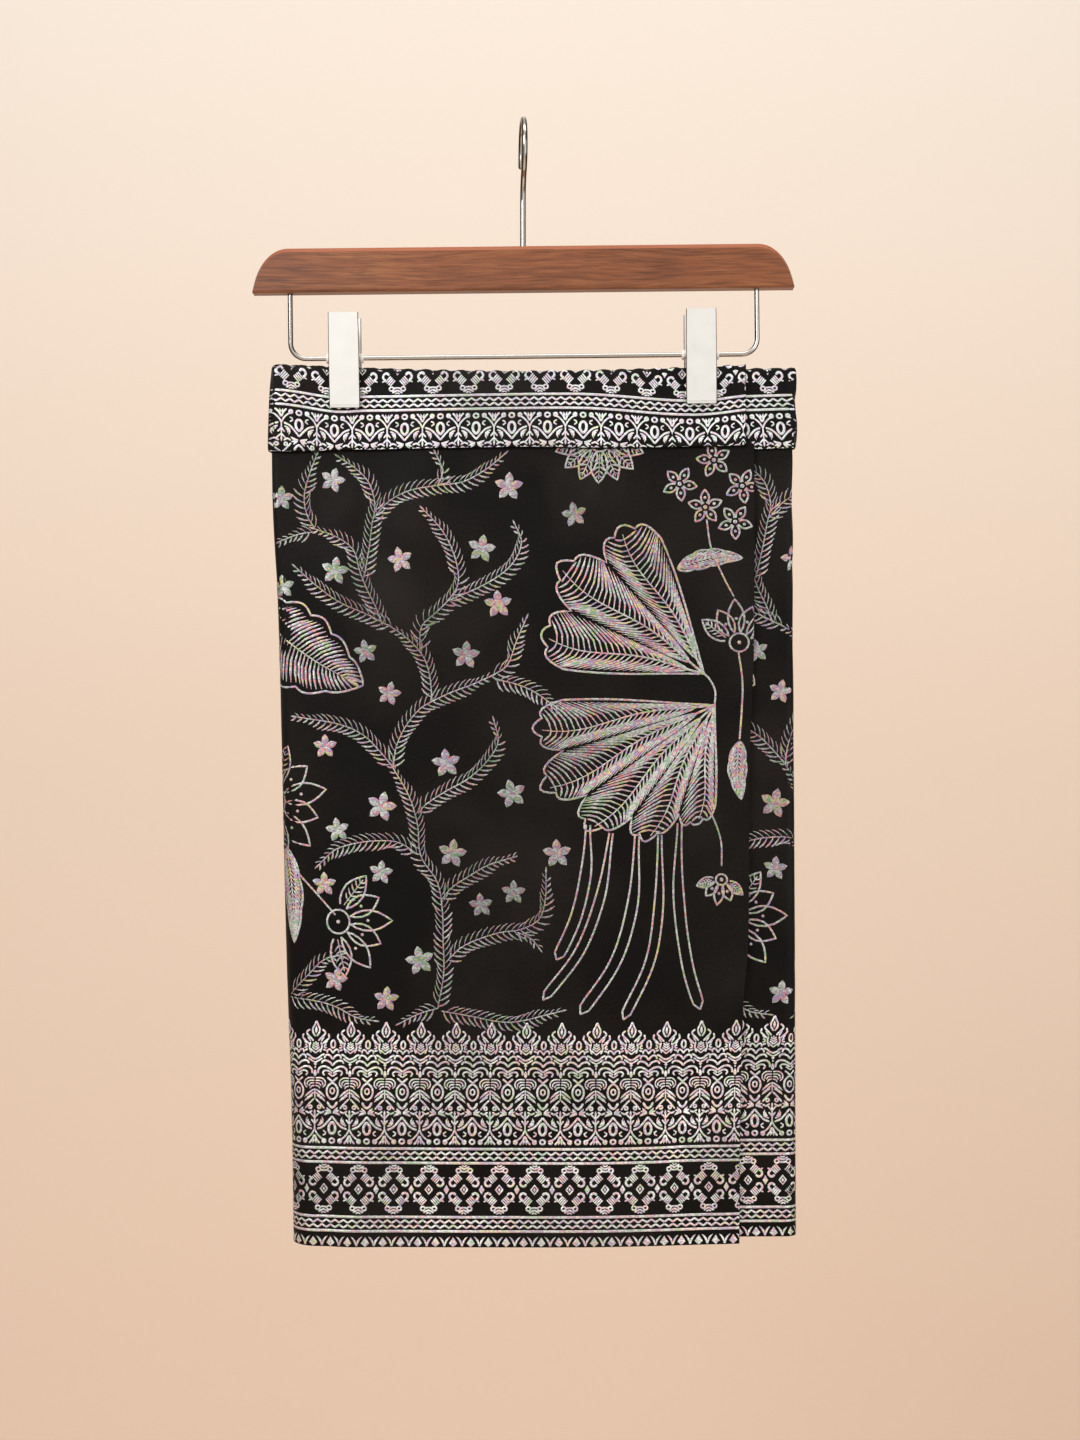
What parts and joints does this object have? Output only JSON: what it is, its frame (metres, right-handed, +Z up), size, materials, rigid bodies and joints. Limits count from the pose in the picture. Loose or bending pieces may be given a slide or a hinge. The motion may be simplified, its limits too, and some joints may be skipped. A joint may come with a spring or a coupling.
{
  "type": "pre-tied samping on a clip hanger",
  "caption": "Ready-made wrap skirt of brocade cloth with a turned-out waistband and a lapped front, hanging flat from a wooden clip hanger.",
  "frame": {"origin": "inside of the hook, where it rests on top of a rail", "axes": "+Z up, X along the rail with +X to the viewer's right, the garment's front faces -Y"},
  "size_m": [0.3834, 0.0471, 0.7891],
  "materials": {
    "brocade": "black twill ground with iridescent silver thread figures",
    "brocade_band": "black twill ground closely covered in iridescent silver thread",
    "hanger_wood": "satin lacquered walnut brown",
    "hanger_wire": "bright nickel plate",
    "clip_plate": "satin nickel plate",
    "clip_spool": "white moulded plastic"
  },
  "bodies": {
    "root": {"over_panel": "brocade", "under_panel": "brocade", "back_panel": "brocade", "over_band": "brocade_band", "under_band": "brocade_band", "back_band": "brocade_band", "hanger_wood": "hanger_wood", "hanger_hook": "hanger_wire", "hanger_bar": "hanger_wire", "clip_left_front": "clip_plate", "clip_left_back": "clip_plate", "clip_right_front": "clip_plate", "clip_right_back": "clip_plate", "clip_left_spool": "clip_spool", "clip_right_spool": "clip_spool"}
  },
  "joints": []
}
